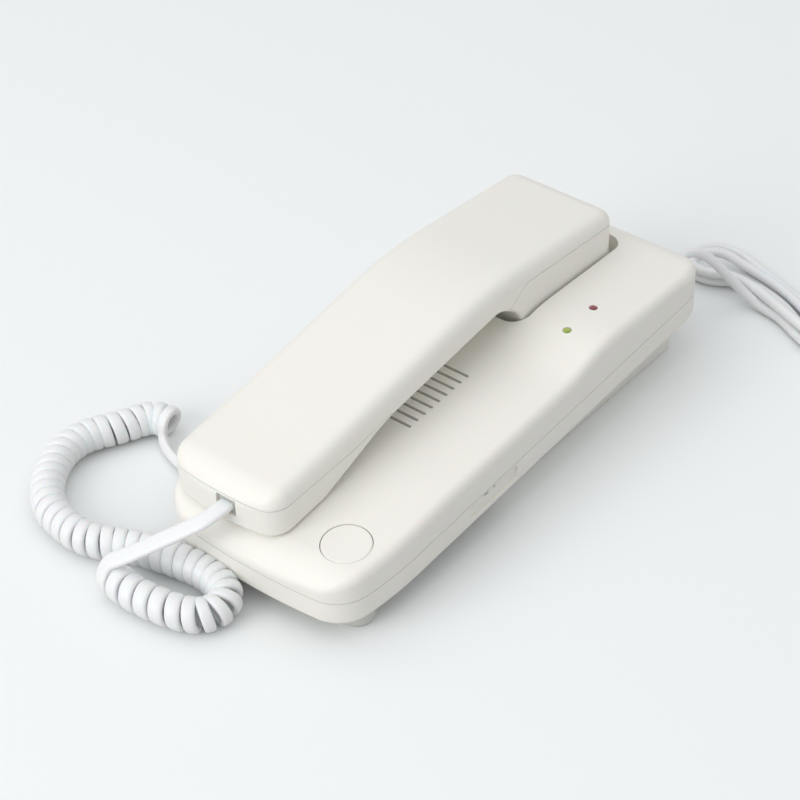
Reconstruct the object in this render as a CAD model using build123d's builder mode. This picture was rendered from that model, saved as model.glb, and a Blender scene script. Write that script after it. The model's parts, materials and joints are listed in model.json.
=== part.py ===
from build123d import *
import os
from bisect import bisect_right
from math import atan2, ceil, cos, dist, pi, radians, sin, sqrt, tan

os.makedirs("parts", exist_ok=True)

# Sizes are in millimetres and angles in degrees.
# The case is drawn in its own tilted frame: X across, Y from the near end to the far end, Z off its underside.

# Case
base_length = 212.0
base_width = 82.3
near_end_narrowing = 7.7
far_end_narrowing = 1.9
near_end_width = base_width - near_end_narrowing
far_end_width = base_width - far_end_narrowing
widest_from_near_end = 36.0
near_bow = 2.85
far_bow = 2.0
near_corner_radius = 13.5
far_corner_radius = 17.0
wall = 2.2
lower_shell_height = 9.4
parting_gap = 0.3
rim_radius = 3.5
underside_radius = 1.5
case_tilt = 3.37
near_end_lift = 6.98

# Height of the case's top along its length
near_top_height = 19.3
deck_height = 21.5
crest_height = 25.9
far_top_height = 20.3
shoulder_run = 6.5
shoulder_drop = 7.2
deck_start_from_near_end = 51.0
ramp_start_from_near_end = 121.0
crest_from_near_end = 143.0
shoulder_blend = 12.0
ramp_blend = 60.0

# Handset
handset_length = 192.7
handset_width = 45.7
handset_from_near_end = 4.0
handset_from_left_side = 4.45
handset_side_shift = base_width / 2 - handset_from_left_side - handset_width / 2
handset_bow = 3.0
handset_corner_radius = 8.0
handset_wall = 2.0
handset_rim_radius = 5.0
handset_underside_radius = 1.6
handset_parting_gap = 0.25
mouth_gap = 0.6
mouth_block_length = 26.0
arch_start_height = 31.2
arch_start_from_end = 58.0
arch_end_height = 35.8
arch_end_from_end = 121.0
ear_block_from_end = 135.0
handset_near_height = 36.9
handset_knee_height = 38.5
handset_knee_from_end = 26.0
handset_crown_height = 48.1
handset_crown_from_end = 116.0
handset_far_height = 38.0
handset_shoulder_run = 5.5
handset_shoulder_drop = 6.0
handset_shoulder_blend = 9.0
crown_blend = 155.0
seam_near_height = 31.3
seam_step_height = 33.0
seam_bend_from_end = 42.0
seam_step_from_end = 60.0
seam_grip_from_end = 68.0
seam_grip_to_end = 122.0
seam_rise_from_end = 125.0
seam_ear_from_end = 136.0
seam_in_grip = 1.2
seam_past_grip = 1.8
seam_ear_height = 38.9
seam_far_height = 31.0
shell_clearance = 0.25

# Rest for the ear end
rest_floor_height = 12.0
rest_floor = 2.0
rest_side_gap = 1.1
rest_end_gap = 2.4
rest_near_gap = 2.6
rest_corner_radius = 7.0
ear_seat_gap = 0.3

# Call button
button_radius = 8.4
button_from_right_side = 14.75
button_x = base_width / 2 - button_from_right_side
button_from_near_end = 19.0
button_clearance = 0.25
button_flange = 1.3
button_flange_thickness = 1.2
button_travel = 1.2
button_stem_radius = 2.0
button_switch_side = 12.0
button_switch_height = 5.0
moving_fit = 0.3

# Lamps
lamp_radius = 1.5
lamp_from_right_side = 15.95
lamp_x = base_width / 2 - lamp_from_right_side
red_lamp_from_far_end = 55.4
green_lamp_from_far_end = 71.2
lamp_clearance = 0.05
lamp_proud = 0.4
lamp_height = 5.3

# Sound slots and speaker
slot_count = 9
slot_pitch = 3.95
slot_width = 1.2
slot_length = 30.0
speaker_x = -5.0
speaker_from_near_end = 88.7
speaker_radius = 20.0
speaker_depth = 9.5
felt_thickness = 0.5
ring_wall = 1.2
ring_depth = 5.0

# Circuit board
board_thickness = 1.6
board_standoff = 2.4
board_edge_gap = 2.6
board_far_end_from_near_end = 142.0
board_from_sides = 9.65
board_narrow_half_width = base_width / 2 - board_from_sides
board_arm_left = 13.0
board_arm_from_right_side = 7.15
volume_tab_width = 8.0
volume_tab_length = 20.0

# Volume switch in the side
side_recess_length = 27.0
side_recess_height = 6.4
side_recess_depth = 1.1
side_recess_from_near_end = 77.5
side_recess_centre_height = 5.6
window_length = 6.2
window_height = 2.2
knob_length = 2.6
knob_height = 1.8
knob_travel = 1.6
window_centre_height = 7.4
knob_off_centre = 1.25
volume_switch_height = 9.8
volume_switch_half_length = 4.6
volume_switch_slot_depth = 2.0

# Hook switch
hook_from_near_end = 151.0
hook_pin_radius = 2.2
hook_flange_radius = 4.4
hook_travel = 2.4
hook_clearance = 0.25

# Screws
case_screw_radius = 1.5
case_boss_radius = 3.3
near_screw_from_side = 6.15
near_screw_x = base_width / 2 - near_screw_from_side
near_screw_from_near_end = 54.0
far_screw_from_side = 12.55
far_screw_x = base_width / 2 - far_screw_from_side
far_screw_from_far_end = 11.2
screw_head_radius = 2.8
screw_head_height = 1.8
screw_clearance = 0.15

# Stand and feet
foot_radius = 6.1
foot_from_side = 10.15
foot_x = base_width / 2 - foot_from_side
foot_from_near_end = 16.7
foot_seat_depth = 0.8
stand_from_sides = 9.45
stand_half_width = base_width / 2 - stand_from_sides
stand_start_from_near_end = 86.0
stand_end_from_far_end = 10.6
stand_corner_radius = 4.0
stand_wall = 2.2
keyhole_spacing = 83.5
keyhole_head_radius = 4.2
keyhole_slot_radius = 2.1
keyhole_slot_length = 7.0
stand_screw_from_side = 13.65
stand_screw_x = base_width / 2 - stand_screw_from_side
stand_boss_radius = 3.6

# Modular jacks and plugs
plug_width = 7.6
plug_height = 6.2
plug_length = 12.0
plug_clearance = 0.15
line_plug_width = 9.65
jack_wall = 1.4
handset_jack_x = -10.5
handset_jack_height = 27.5
handset_plug_set_back = 1.2
base_jack_from_near_end = 30.0

# Cords
curl_wire = 3.2
curl_radius = 4.7
curl_pitch = 4.5
curl_side_gap = 0.6
line_diameter = 3.8
line_gap = 0.5
floor_gap = 0.05
hank_lift = 0.6

half_length = base_length / 2
near_end = -half_length
far_end = half_length
case_height = crest_height + 5
seat_of_world = near_end_lift + half_length * sin(radians(case_tilt))
centring_shift = (near_top_height - shoulder_drop) * sin(radians(case_tilt)) / 2
slab = Plane(
    origin=(0, centring_shift, seat_of_world),
    x_dir=(1, 0, 0),
    z_dir=(0, -sin(radians(case_tilt)), cos(radians(case_tilt))),
)
side_view = Plane(origin=slab.origin, x_dir=slab.y_dir, z_dir=slab.x_dir)


def at(x, y, z):
    """A point of the tilted case frame, in the part's own frame."""
    return slab.from_local_coords(Vector(x, y, z))


def level(height):
    """A plane parallel to the underside of the case, at this height above it."""
    return slab.offset(height)


def rim_of(part, direction, steepest=0.3):
    """Edges that bound the faces that look along direction, without the edges between two such faces."""
    faces = [f for f in part.faces() if f.normal_at().dot(direction) > steepest]
    count = {}
    for face in faces:
        for edge in face.edges():
            count.setdefault(edge, 0)
            count[edge] += 1
    return ShapeList([edge for edge, uses in count.items() if uses == 1])


# Outline of the case seen from above
near_right = (near_end_width / 2, near_end + near_bow)
near_left = (-near_end_width / 2, near_end + near_bow)
widest_right = (base_width / 2, near_end + widest_from_near_end)
widest_left = (-base_width / 2, near_end + widest_from_near_end)
far_right = (far_end_width / 2, far_end - far_bow)
far_left = (-far_end_width / 2, far_end - far_bow)
with BuildSketch() as sharp_plan:
    with BuildLine():
        ThreePointArc(near_left, (0, near_end), near_right)
        right_side = Line(widest_right, far_right)
        TangentArc(widest_right, near_right, tangent=-(right_side % 0))
        ThreePointArc(far_right, (0, far_end), far_left)
        left_side = Line(far_left, widest_left)
        TangentArc(widest_left, near_left, tangent=left_side % 1)
    make_face()


def case_outline(inset):
    """The case's outline from above, moved inward by inset."""
    with BuildSketch() as outline:
        add(sharp_plan.sketch)
        if inset:
            offset(amount=-inset, kind=Kind.INTERSECTION)
        fillet(outline.vertices().group_by(Axis.Y)[0], near_corner_radius - inset)
        fillet(outline.vertices().group_by(Axis.Y)[-1], far_corner_radius - inset)
    return outline.sketch


tongue = wall / 2 - 0.15
case_plan = case_outline(0)
case_inner_plan = case_outline(wall)
tongue_plan = case_outline(wall - tongue)
groove_plan = case_outline(wall - tongue - 0.15)

# Outline of the case seen from its side, filled to well below it
near_shoulder = Vector(near_end + shoulder_run, near_top_height)
far_shoulder = Vector(far_end - shoulder_run - 1, far_top_height)
near_slope = Vector(-shoulder_run, -shoulder_drop)
far_slope = Vector(shoulder_run + 1, -shoulder_drop)
with BuildSketch() as case_side:
    with BuildLine():
        top = FilletPolyline(
            near_shoulder + near_slope * 2,
            near_shoulder,
            (near_end + deck_start_from_near_end, deck_height),
            (near_end + ramp_start_from_near_end, deck_height),
            (near_end + crest_from_near_end, crest_height),
            far_shoulder,
            far_shoulder + far_slope * 2,
            radius=[shoulder_blend, 200, ramp_blend, ramp_blend, shoulder_blend],
        )
        Polyline(top @ 0, (top @ 0 - Vector(0, case_height)), (top @ 1 - Vector(0, case_height)), top @ 1)
    make_face()

# Outline of the rest that the ear end lies in, seen from above
handset_x = -handset_side_shift
handset_near = near_end + handset_from_near_end
handset_far = handset_near + handset_length
rest_left = handset_x - handset_width / 2 - rest_side_gap
rest_right = handset_x + handset_width / 2 + rest_side_gap
rest_near = handset_near + ear_block_from_end - rest_near_gap - 3
rest_far = handset_far + rest_end_gap
with BuildSketch() as rest_plan:
    with Locations(((rest_left + rest_right) / 2, (rest_near + rest_far) / 2)):
        RectangleRounded(rest_right - rest_left, rest_far - rest_near, rest_corner_radius)

# Whole case, before it is split and hollowed
with BuildPart() as case_outside:
    with BuildSketch(slab):
        add(case_plan)
    extrude(amount=case_height)
    with BuildSketch(side_view):
        add(case_side.sketch)
    extrude(amount=base_width, both=True, mode=Mode.INTERSECT)
    fillet(rim_of(case_outside.part, slab.z_dir), rim_radius)
    fillet(rim_of(case_outside.part, -slab.z_dir), underside_radius)

with BuildPart() as case_inside:
    with BuildSketch(slab):
        add(case_inner_plan)
    extrude(amount=case_height)
    with BuildSketch(side_view):
        add(case_side.sketch)
        offset(amount=-wall)
    extrude(amount=base_width, both=True, mode=Mode.INTERSECT)

# Places that several pieces share
board_top = wall + board_standoff + board_thickness
board_under = wall + board_standoff
near_screws = [(x, near_end + near_screw_from_near_end) for x in (-near_screw_x, near_screw_x)]
far_screws = [(x, far_end - far_screw_from_far_end) for x in (-far_screw_x, far_screw_x)]
case_screw_places = near_screws + far_screws
stand_near = near_end + stand_start_from_near_end
stand_far = far_end - stand_end_from_far_end
stand_screw_places = [
    (x, y)
    for x in (-stand_screw_x, stand_screw_x)
    for y in (stand_near + stand_boss_radius + 6, stand_far - stand_boss_radius - 6)
]
feet_places = [(-foot_x, near_end + foot_from_near_end), (foot_x, near_end + foot_from_near_end)]
speaker_y = near_end + speaker_from_near_end
hook_y = near_end + hook_from_near_end
hook_x = handset_x
recess_y = near_end + side_recess_from_near_end
knob_y = recess_y - knob_off_centre
button_y = near_end + button_from_near_end
deck_rise = atan2(
    deck_height - near_top_height,
    deck_start_from_near_end - shoulder_run,
)
button_height = near_top_height + (button_from_near_end - shoulder_run) * tan(deck_rise)
button_face = Plane(
    origin=at(button_x, button_y, button_height),
    x_dir=slab.x_dir,
    z_dir=slab.z_dir * cos(deck_rise) - slab.y_dir * sin(deck_rise),
)
side_face = Plane(
    origin=at(base_width / 2, recess_y, 0),
    x_dir=slab.y_dir,
    z_dir=slab.x_dir,
)
case_half_at_recess = base_width / 2 - (base_width - far_end_width) / 2 * (
    (side_recess_from_near_end - widest_from_near_end) / (base_length - widest_from_near_end)
)
base_jack_y = near_end + base_jack_from_near_end
base_jack_x = -base_width / 2
jack_outer_width = plug_width + 2 * (plug_clearance + jack_wall)
jack_outer_height = plug_height + 2 * (plug_clearance + jack_wall)
base_jack_height = wall + 0.05 + jack_outer_height / 2
base_jack_face = Plane(
    origin=at(base_jack_x, base_jack_y, base_jack_height),
    x_dir=slab.y_dir,
    z_dir=slab.x_dir,
)
cable_x = 22.0
cable_height = 5.9
bush_neck_radius = line_diameter / 2 + 0.85
tongue_height = 1.4
pin_top = lower_shell_height - parting_gap / 2

# Lower shell of the case
with BuildPart() as base_lower_shell:
    with BuildSketch(slab):
        add(case_plan)
    extrude(amount=pin_top)
    fillet(rim_of(base_lower_shell.part, -slab.z_dir), underside_radius)
    with BuildSketch(level(wall)):
        add(case_inner_plan)
    extrude(amount=case_height, mode=Mode.SUBTRACT)
    with BuildSketch(level(pin_top - 1)):
        add(tongue_plan)
        add(case_inner_plan, mode=Mode.SUBTRACT)
    extrude(amount=tongue_height + 1)
    with BuildSketch(level(wall - 0.1)):
        with Locations(*case_screw_places):
            Circle(case_boss_radius)
    extrude(amount=pin_top - wall + 0.1)
    with BuildSketch(level(wall - 0.1)):
        with Locations(*stand_screw_places):
            Circle(stand_boss_radius)
    extrude(amount=board_standoff + 0.1 - 0.3)
    with BuildSketch(level(wall - 0.1)):
        with Locations((hook_x, hook_y)):
            Circle(hook_pin_radius - 0.6)
    extrude(amount=1.6)
    with Locations(level(0)):
        with Locations(*case_screw_places):
            Cylinder(case_screw_radius + screw_clearance, 60, mode=Mode.SUBTRACT)
            Cylinder(
                screw_head_radius + screw_clearance,
                (screw_head_height + 0.6) * 2,
                mode=Mode.SUBTRACT,
            )
        with Locations(*feet_places):
            Cylinder(foot_radius + 0.1, foot_seat_depth * 2, mode=Mode.SUBTRACT)
    with Locations(*stand_screw_places):
        Cylinder(case_screw_radius - 0.3, 120, mode=Mode.SUBTRACT)
    with BuildSketch(side_face):
        with Locations((0, side_recess_centre_height)):
            SlotOverall(side_recess_length, side_recess_height)
    extrude(amount=-(base_width / 2 - case_half_at_recess) - side_recess_depth, mode=Mode.SUBTRACT)
    with BuildSketch(side_face):
        with Locations((-knob_off_centre, window_centre_height)):
            Rectangle(window_length, window_height)
    extrude(amount=-2 * wall, mode=Mode.SUBTRACT)
    with BuildSketch(base_jack_face):
        Rectangle(plug_width + 2 * plug_clearance, plug_height + 2 * plug_clearance)
    extrude(amount=3 * wall, both=True, mode=Mode.SUBTRACT)
    with BuildSketch(Plane(origin=at(0, far_end, 0), x_dir=slab.x_dir, z_dir=-slab.y_dir)):
        with Locations((cable_x, cable_height)):
            Circle(bush_neck_radius + 0.05)
    extrude(amount=3 * wall, both=True, mode=Mode.SUBTRACT)
base_lower_shell.part.label = "base_lower_shell"
export_step(base_lower_shell.part, "parts/base_lower_shell.step")

# Upper shell of the case
slot_places = [(speaker_x, speaker_y + (i - (slot_count - 1) / 2) * slot_pitch) for i in range(slot_count)]
ring_inner = speaker_radius + 0.2
with BuildPart() as base_top_shell:
    add(case_outside.part)
    add(case_inside.part, mode=Mode.SUBTRACT)
    with BuildSketch(level(rest_floor_height - rest_floor)):
        add(rest_plan.sketch)
        offset(amount=rest_floor)
    extrude(amount=case_height)
    with BuildSketch(level(board_top + 1)):
        with Locations(*near_screws):
            Circle(case_boss_radius)
        with Locations(*far_screws):
            Circle(case_boss_radius)
    extrude(amount=case_height)
    with BuildSketch(level(deck_height - wall - ring_depth)):
        with Locations((speaker_x, speaker_y)):
            Circle(ring_inner + ring_wall)
            Circle(ring_inner, mode=Mode.SUBTRACT)
    extrude(amount=ring_depth + 1)
    add(case_outside.part, mode=Mode.INTERSECT)
    with BuildSketch(level(rest_floor_height)):
        add(rest_plan.sketch)
    extrude(amount=case_height, mode=Mode.SUBTRACT)
    with BuildSketch(level(0)):
        Rectangle(2 * base_width, 2 * base_length)
    extrude(amount=lower_shell_height + parting_gap / 2, mode=Mode.SUBTRACT)
    with BuildSketch(level(0)):
        add(groove_plan)
        add(case_inner_plan, mode=Mode.SUBTRACT)
    extrude(amount=pin_top + tongue_height + 0.2, mode=Mode.SUBTRACT)
    with BuildSketch(level(deck_height - 2 * wall)):
        with Locations(*slot_places):
            SlotOverall(slot_length, slot_width)
    extrude(amount=case_height, mode=Mode.SUBTRACT)
    with BuildSketch(level(deck_height)):
        with Locations(
            (lamp_x, far_end - red_lamp_from_far_end),
            (lamp_x, far_end - green_lamp_from_far_end),
        ):
            Circle(lamp_radius + lamp_clearance)
    extrude(amount=case_height, both=True, mode=Mode.SUBTRACT)
    with BuildSketch(level(rest_floor_height)):
        with Locations((hook_x, hook_y)):
            Circle(hook_pin_radius + hook_clearance)
    extrude(amount=case_height, both=True, mode=Mode.SUBTRACT)
    with BuildSketch(button_face):
        Circle(button_radius + button_clearance)
    extrude(amount=3 * wall, both=True, mode=Mode.SUBTRACT)
    with BuildSketch(base_jack_face):
        Rectangle(plug_width + 2 * plug_clearance, plug_height + 2 * plug_clearance)
    extrude(amount=3 * wall, both=True, mode=Mode.SUBTRACT)
    with Locations(level(0)):
        with Locations(*case_screw_places):
            Cylinder(case_screw_radius - 0.25, (deck_height - wall - 3) * 2, mode=Mode.SUBTRACT)
base_top_shell.part.label = "base_top_shell"
export_step(base_top_shell.part, "parts/base_top_shell.step")

# Feet under the near end, cut flat where they stand
foot_height = (near_end_lift + foot_from_near_end * sin(radians(case_tilt))) / cos(radians(case_tilt))
with BuildPart() as front_feet:
    with BuildSketch(level(foot_seat_depth - 0.05)):
        with Locations(*feet_places):
            Circle(foot_radius)
    extrude(amount=-(foot_height + foot_seat_depth + 0.6))
    fillet(rim_of(front_feet.part, -slab.z_dir), foot_radius * 0.45)
    split(bisect_by=Plane.XY, keep=Keep.TOP)
front_feet.part.label = "front_feet"
export_step(front_feet.part, "parts/front_feet.step")

# Hollow wedge that lifts the far end, with two holes to hang it on screws
stand_floor = 2.5
stand_top = seat_of_world + stand_far * sin(radians(case_tilt)) + 5
mid_stand = (stand_near + stand_far) / 2
with BuildPart() as rear_stand:
    with BuildSketch() as stand_outline:
        with Locations((0, mid_stand)):
            RectangleRounded(2 * stand_half_width, stand_far - stand_near, stand_corner_radius)
    extrude(amount=stand_top)
    fillet(rim_of(rear_stand.part, Vector(0, 0, -1)), 0.8)
    with BuildSketch(Plane.XY.offset(stand_floor)):
        add(stand_outline.sketch)
        offset(amount=-stand_wall)
    extrude(amount=stand_top, mode=Mode.SUBTRACT)
    with BuildSketch(Plane.XY.offset(stand_floor - 0.1)):
        with Locations(*stand_screw_places):
            Circle(stand_boss_radius)
    extrude(amount=stand_top)
    with Locations(slab):
        with Locations((0, 0, case_height / 2)):
            Box(3 * base_width, 2 * base_length, case_height, mode=Mode.SUBTRACT)
    with Locations(*stand_screw_places):
        Cylinder(case_screw_radius + screw_clearance, 4 * stand_top, mode=Mode.SUBTRACT)
        Cylinder(screw_head_radius + screw_clearance, (screw_head_height + 3) * 2, mode=Mode.SUBTRACT)
    with Locations((0, mid_stand - keyhole_spacing / 2), (0, mid_stand + keyhole_spacing / 2)):
        Cylinder(keyhole_head_radius, 3 * stand_floor, mode=Mode.SUBTRACT)
    with BuildSketch(Plane.XY.offset(-1)):
        with Locations(
            (0, mid_stand - keyhole_spacing / 2 + keyhole_slot_length / 2),
            (0, mid_stand + keyhole_spacing / 2 + keyhole_slot_length / 2),
        ):
            SlotOverall(keyhole_slot_length + 2 * keyhole_slot_radius, 2 * keyhole_slot_radius, rotation=90)
    extrude(amount=stand_floor + 2, mode=Mode.SUBTRACT)
rear_stand.part.label = "rear_stand"
export_step(rear_stand.part, "parts/rear_stand.step")

# Screws up through the lower shell, and through the stand
case_screw_length = 12.0
cross_width, cross_slot, cross_depth = 2.6, 0.7, 0.8
screw_recess = 0.6
thread_allowance = 0.25
with BuildPart() as case_screws:
    with BuildSketch(level(screw_recess)):
        with Locations(*case_screw_places):
            Circle(screw_head_radius)
    extrude(amount=screw_head_height)
    with BuildSketch(level(screw_recess)):
        with Locations(*case_screw_places):
            Circle(case_screw_radius - thread_allowance)
    extrude(amount=case_screw_length)
    with BuildSketch(level(0)):
        with Locations(*case_screw_places):
            RectangleRounded(cross_width, cross_slot, 0.2)
            RectangleRounded(cross_slot, cross_width, 0.2)
    extrude(amount=screw_recess + cross_depth, mode=Mode.SUBTRACT)
case_screws.part.label = "case_screws"
export_step(case_screws.part, "parts/case_screws.step")

with BuildPart() as stand_screws:
    for x, y in stand_screw_places:
        screw_head_seat = screw_head_height + 3
        screw_top = seat_of_world + y * sin(radians(case_tilt)) + wall + 1
        with BuildSketch(Plane.XY.offset(screw_head_seat - screw_head_height)):
            with Locations((x, y)):
                Circle(screw_head_radius)
        extrude(amount=screw_head_height)
        with BuildSketch(Plane.XY.offset(screw_head_seat - screw_head_height)):
            with Locations((x, y)):
                Circle(case_screw_radius - 0.4)
        extrude(amount=screw_top - screw_head_seat + screw_head_height)
stand_screws.part.label = "stand_screws"
export_step(stand_screws.part, "parts/stand_screws.step")

# Circuit board, notched round the bosses, with an arm to the lamps and the line
board_near = near_end + wall + board_edge_gap + 3
board_far = near_end + board_far_end_from_near_end
arm_right = base_width / 2 - board_arm_from_right_side
arm_far = far_end - red_lamp_from_far_end + 7.5
board_wide = near_end_width / 2 - wall - board_edge_gap
wide_far = near_end + near_screw_from_near_end - case_boss_radius - 4
switch_depth = 4.4
jack_depth = plug_length + 1
jack_front = base_width / 2 - wall - 0.75
switch_outer_x = case_half_at_recess - wall - 0.5
with BuildPart() as main_pcb:
    with BuildSketch(level(board_under)) as board_outline:
        with Locations((0, (board_near + wide_far) / 2)):
            Rectangle(2 * board_wide, wide_far - board_near)
        fillet(board_outline.vertices().group_by(Axis.Y)[0], 9)
        with Locations((0, (wide_far + board_far) / 2)):
            Rectangle(2 * board_narrow_half_width, board_far - wide_far)
        with Locations((switch_outer_x - volume_tab_width / 2, knob_y)):
            Rectangle(volume_tab_width, volume_tab_length)
        with Locations(((board_arm_left + arm_right) / 2, (board_far + arm_far) / 2)):
            Rectangle(arm_right - board_arm_left, arm_far - board_far)
        with Locations(*stand_screw_places):
            Circle(stand_boss_radius + 0.5, mode=Mode.SUBTRACT)
        with Locations((-board_wide, base_jack_y)):
            Rectangle(2 * (board_wide - jack_front + jack_depth + 0.6), jack_outer_width + 1, mode=Mode.SUBTRACT)
    extrude(amount=board_thickness)
main_pcb.part.label = "main_pcb"
export_step(main_pcb.part, "parts/main_pcb.step")


def top_height(x, y):
    """Height of the case's outside over this place, off its underside."""
    hits = case_outside.part.find_intersection_points(Axis(at(x, y, 0), slab.z_dir))
    return max(slab.to_local_coords(point).Z for point, normal in hits)


# Small parts soldered on the board
capacitor_radius, capacitor_height = 3.15, 10.5
relay_length, relay_width, relay_height = 15.0, 7.5, 9.5
chip_length, chip_width, chip_height = 10.0, 7.0, 1.7
coil_length, coil_width = 5.0, 4.0
with BuildPart() as circuit_parts:
    with BuildSketch(level(board_top)):
        with Locations((8, button_y - 2), (1, button_y)):
            Circle(capacitor_radius)
    extrude(amount=capacitor_height)
    with BuildSketch(level(board_top)):
        with Locations((-12, button_y + 1)):
            Rectangle(relay_length, relay_width)
    extrude(amount=relay_height)
    with BuildSketch(level(board_top)):
        with Locations((-2, wide_far + 6)):
            Rectangle(chip_length, chip_width)
        with Locations((-20, wide_far + 4), (16, wide_far + 4)):
            Rectangle(coil_length, coil_width)
    extrude(amount=chip_height)
circuit_parts.part.label = "circuit_parts"
export_step(circuit_parts.part, "parts/circuit_parts.step")

# Speaker behind the slots, on a felt ring
speaker_top = deck_height - wall - felt_thickness - 0.05
magnet_radius = 9.5
with BuildPart() as chime_speaker:
    with BuildSketch(Plane(origin=at(speaker_x, speaker_y, 0), x_dir=slab.x_dir, z_dir=-slab.y_dir)):
        with BuildLine():
            Polyline(
                (0, speaker_top - speaker_depth),
                (magnet_radius, speaker_top - speaker_depth),
                (magnet_radius, speaker_top - 4.6),
                (speaker_radius - 1.5, speaker_top - 1.2),
                (speaker_radius, speaker_top - 1.2),
                (speaker_radius, speaker_top),
                (speaker_radius - 1.6, speaker_top),
                (5, speaker_top - 3.2),
                (0, speaker_top - 2.2),
                close=True,
            )
        make_face()
    revolve(axis=Axis(at(speaker_x, speaker_y, 0), slab.z_dir))
chime_speaker.part.label = "chime_speaker"
export_step(chime_speaker.part, "parts/chime_speaker.step")

with BuildPart() as speaker_felt:
    with BuildSketch(level(speaker_top + 0.02)):
        with Locations((speaker_x, speaker_y)):
            Circle(speaker_radius)
            Circle(speaker_radius - 1.5, mode=Mode.SUBTRACT)
    extrude(amount=felt_thickness)
speaker_felt.part.label = "speaker_felt"
export_step(speaker_felt.part, "parts/speaker_felt.step")

# Call button, its switch and the spring round its stem
switch_top = board_top + button_switch_height
switch_y = button_y + (button_height - switch_top) * tan(deck_rise)
flange_depth = wall + moving_fit
stem_reach = 1.6
stem_length = (button_height - switch_top + stem_reach) / cos(deck_rise) - flange_depth - button_flange_thickness
with BuildPart() as call_button:
    with BuildSketch(button_face):
        Circle(button_radius)
    extrude(amount=-flange_depth - 0.01)
    fillet(call_button.faces().sort_by(Axis.Z)[-1].edges(), 0.5)
    with BuildSketch(button_face.offset(-flange_depth)):
        Circle(button_radius + button_flange)
    extrude(amount=-button_flange_thickness)
    with BuildSketch(button_face.offset(-flange_depth - button_flange_thickness)):
        Circle(button_stem_radius)
    extrude(amount=-stem_length)
call_button.part.label = "call_button"
export_step(call_button.part, "parts/call_button.step")

with BuildPart() as button_switch:
    with BuildSketch(level(board_top)):
        with Locations((button_x, switch_y)):
            RectangleRounded(button_switch_side, button_switch_side, 0.8)
    extrude(amount=button_switch_height)
    with BuildSketch(level(switch_top - stem_reach - button_travel - 1)):
        with Locations((button_x, switch_y)):
            Circle(button_stem_radius + 0.4)
    extrude(amount=button_switch_height, mode=Mode.SUBTRACT)
button_switch.part.label = "button_switch"
export_step(button_switch.part, "parts/button_switch.step")

spring_inner = button_stem_radius + 0.7
spring_wire = 0.6
with BuildPart() as button_spring:
    with BuildSketch(button_face.offset(-flange_depth - button_flange_thickness - 0.1)):
        Circle(spring_inner + spring_wire)
        Circle(spring_inner, mode=Mode.SUBTRACT)
    extrude(amount=-(stem_length - stem_reach - 0.5))
button_spring.part.label = "button_spring"
export_step(button_spring.part, "parts/button_spring.step")

# Lamps on the board's arm, each with its two legs
for name, lamp_y in (
    ("red_led", far_end - red_lamp_from_far_end),
    ("green_led", far_end - green_lamp_from_far_end),
):
    lamp_top = top_height(lamp_x, lamp_y) + lamp_proud
    with BuildPart() as lamp:
        with BuildSketch(level(lamp_top - lamp_height)):
            with Locations((lamp_x, lamp_y)):
                Circle(lamp_radius)
        extrude(amount=lamp_height)
        fillet(rim_of(lamp.part, slab.z_dir), lamp_radius * 0.7)
        with BuildSketch(level(lamp_top - lamp_height)):
            with Locations((lamp_x, lamp_y)):
                Circle(lamp_radius + 0.45)
        extrude(amount=1)
        with BuildSketch(level(lamp_top - lamp_height + 0.2)):
            with Locations((lamp_x, lamp_y - 1.27), (lamp_x, lamp_y + 1.27)):
                Rectangle(0.5, 0.5)
        extrude(amount=-(lamp_top - lamp_height + 0.2 - board_top))
    lamp.part.label = name
    export_step(lamp.part, f"parts/{name}.step")

# Hook switch: a sprung pin that the ear end holds down
pin_top_height = rest_floor_height + ear_seat_gap - 0.1
hook_flange_top = rest_floor_height - rest_floor - hook_travel - 0.1
hook_flange_height = 0.75
with BuildPart() as hook_plunger:
    with BuildSketch(level(hook_flange_top - hook_flange_height)):
        with Locations((hook_x, hook_y)):
            Circle(hook_flange_radius)
    extrude(amount=hook_flange_height)
    with BuildSketch(level(hook_flange_top - 0.1)):
        with Locations((hook_x, hook_y)):
            Circle(hook_pin_radius)
    extrude(amount=pin_top_height - hook_flange_top + 0.1)
    fillet(hook_plunger.faces().sort_by(Axis(at(0, 0, 0), slab.z_dir))[-1].edges(), 1.2)
hook_plunger.part.label = "hook_plunger"
export_step(hook_plunger.part, "parts/hook_plunger.step")

hook_seat = hook_flange_top - hook_flange_height
with BuildPart() as hook_spring:
    with BuildSketch(level(wall + 0.02)):
        with Locations((hook_x, hook_y)):
            Circle(hook_pin_radius + 0.4)
            Circle(hook_pin_radius - 0.4, mode=Mode.SUBTRACT)
    extrude(amount=hook_seat - wall - 0.1)
hook_spring.part.label = "hook_spring"
export_step(hook_spring.part, "parts/hook_spring.step")

hook_switch_length, hook_switch_width = 10.0, 6.0
lever_width = 1.6
with BuildPart() as hook_switch:
    with BuildSketch(level(board_top)):
        with Locations((hook_x, board_far - 4)):
            Rectangle(hook_switch_length, hook_switch_width)
    extrude(amount=rest_floor_height - rest_floor - board_top - 0.4)
    with BuildSketch(level(board_top + 0.05)):
        with Locations((hook_x + hook_flange_radius - 0.8, (board_far + hook_y) / 2 - 1.5)):
            Rectangle(lever_width, hook_y - board_far + 1)
    extrude(amount=0.2)
hook_switch.part.label = "hook_switch"
export_step(hook_switch.part, "parts/hook_switch.step")

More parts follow.
